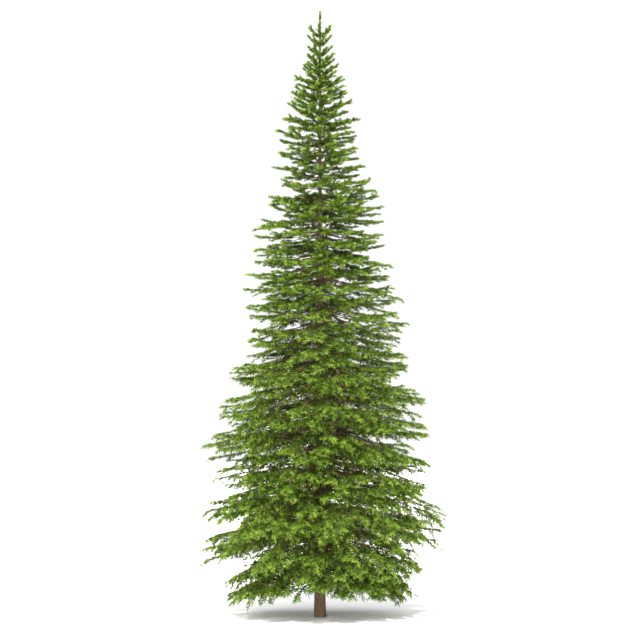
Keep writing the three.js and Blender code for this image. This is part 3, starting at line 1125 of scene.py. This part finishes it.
class SPRUCE_OT_needles(Operator):
    """Set needles round every shoot and join them in pieces from the top of the crown down"""

    bl_idname = "spruce.needles"
    bl_label = "Needles"

    def execute(self, context):
        settings = context.scene.spruce_growth
        twigs = Crown.get(context).twigs
        per_metre = settings.needles / (twigs[:, SIZE] * twigs[:, DENSITY]).sum()
        random = np.random.RandomState(settings.seed + 1)
        materials = [plain_material(name, shade, 0.5) for name, shade in GREENS]
        piece, members, load = 1, [], 0
        for mass in range(len(MASSES)):
            own = 2 * needle_counts(twigs[twigs[:, MASS] == mass], per_metre).sum()
            if load + own > MOST_TRIANGLES:
                self.make_piece(piece, members, twigs, per_metre, settings, random, materials)
                piece, members, load = piece + 1, [], 0
            members.append(mass)
            load += own
        self.make_piece(piece, members, twigs, per_metre, settings, random, materials)
        return {"FINISHED"}

    def make_piece(self, piece, members, twigs, per_metre, settings, random, materials):
        own = twigs[np.isin(twigs[:, MASS], members)]
        points, shades = needle_arrays(own, per_metre, settings, random)
        corners = np.arange(len(points))
        obj = mesh_from_arrays(f"needles_{piece}", points, corners, 4, shades)
        for material in materials:
            obj.data.materials.append(material)
        finish_piece(obj, [MASSES[mass] for mass in members])


class SPRUCE_OT_stage(Operator):
    """Lay the floor, light the tree and set up the camera"""

    bl_idname = "spruce.stage"
    bl_label = "Stage"

    def execute(self, context):
        settings = context.scene.spruce_stage
        self.make_floor(context, settings)
        self.make_light(context, settings)
        self.make_camera(context, settings)
        return {"FINISHED"}

    def make_floor(self, context, settings):
        shape = bmesh.new()
        bmesh.ops.create_grid(shape, x_segments=1, y_segments=1, size=400)
        mesh = bpy.data.meshes.new("floor")
        shape.to_mesh(mesh)
        shape.free()
        floor = bpy.data.objects.new("floor", mesh)
        mesh.materials.append(plain_material("floor", tuple(settings.floor), 0.9))
        context.scene.collection.objects.link(floor)

    def make_light(self, context, settings):
        world = bpy.data.worlds.new("studio")
        world.use_nodes = True
        background = world.node_tree.nodes["Background"]
        background.inputs["Color"].default_value = (1, 1, 1, 1)
        background.inputs["Strength"].default_value = settings.sky
        context.scene.world = world
        self.make_sun(context, "key", settings.sun, 2, (36, 0, -6))
        self.make_sun(context, "fill", settings.fill, 30, (70, 0, -20))
        context.scene.view_settings.view_transform = "Standard"

    def make_sun(self, context, name, energy, angle, turn):
        light = bpy.data.lights.new(name, "SUN")
        light.energy = energy
        light.angle = math.radians(angle)
        light.color = (1.0, 0.98, 0.93)
        sun = bpy.data.objects.new(name, light)
        sun.rotation_euler = [math.radians(part) for part in turn]
        context.scene.collection.objects.link(sun)

    def make_camera(self, context, settings):
        lens = bpy.data.cameras.new("camera")
        lens.lens = settings.lens
        lens.clip_end = 1000
        camera = bpy.data.objects.new("camera", lens)
        camera.location = (0, -settings.distance, settings.eye)
        direction = Vector((0, 0, settings.aim)) - camera.location
        camera.rotation_euler = direction.to_track_quat("-Z", "Y").to_euler()
        context.scene.collection.objects.link(camera)
        context.scene.camera = camera


class SPRUCE_PT_panel(Panel):
    """Lists the steps that build the tree"""

    bl_label = "Spruce tree"
    bl_space_type = "VIEW_3D"
    bl_region_type = "UI"
    bl_category = "Spruce"

    def draw(self, context):
        for step in STEPS:
            self.layout.operator(step.bl_idname)
        scene = context.scene
        for group in (scene.spruce_bark, scene.spruce_growth, scene.spruce_stage):
            box = self.layout.box()
            for key in group.__annotations__:
                box.prop(group, key)


STEPS = (SPRUCE_OT_trunk, SPRUCE_OT_boughs, SPRUCE_OT_twigs, SPRUCE_OT_needles, SPRUCE_OT_stage)
CLASSES = (BarkSettings, GrowthSettings, StageSettings, *STEPS, SPRUCE_PT_panel)


def register():
    for entry in CLASSES:
        bpy.utils.register_class(entry)
    bpy.types.Scene.spruce_bark = PointerProperty(type=BarkSettings)
    bpy.types.Scene.spruce_growth = PointerProperty(type=GrowthSettings)
    bpy.types.Scene.spruce_stage = PointerProperty(type=StageSettings)


def unregister():
    del bpy.types.Scene.spruce_stage
    del bpy.types.Scene.spruce_growth
    del bpy.types.Scene.spruce_bark
    for entry in reversed(CLASSES):
        bpy.utils.unregister_class(entry)


def main():
    register()
    bpy.ops.spruce.trunk()
    bpy.ops.spruce.boughs()
    bpy.ops.spruce.twigs()
    bpy.ops.spruce.needles()
    bpy.ops.spruce.stage()


if __name__ == "__main__":
    main()
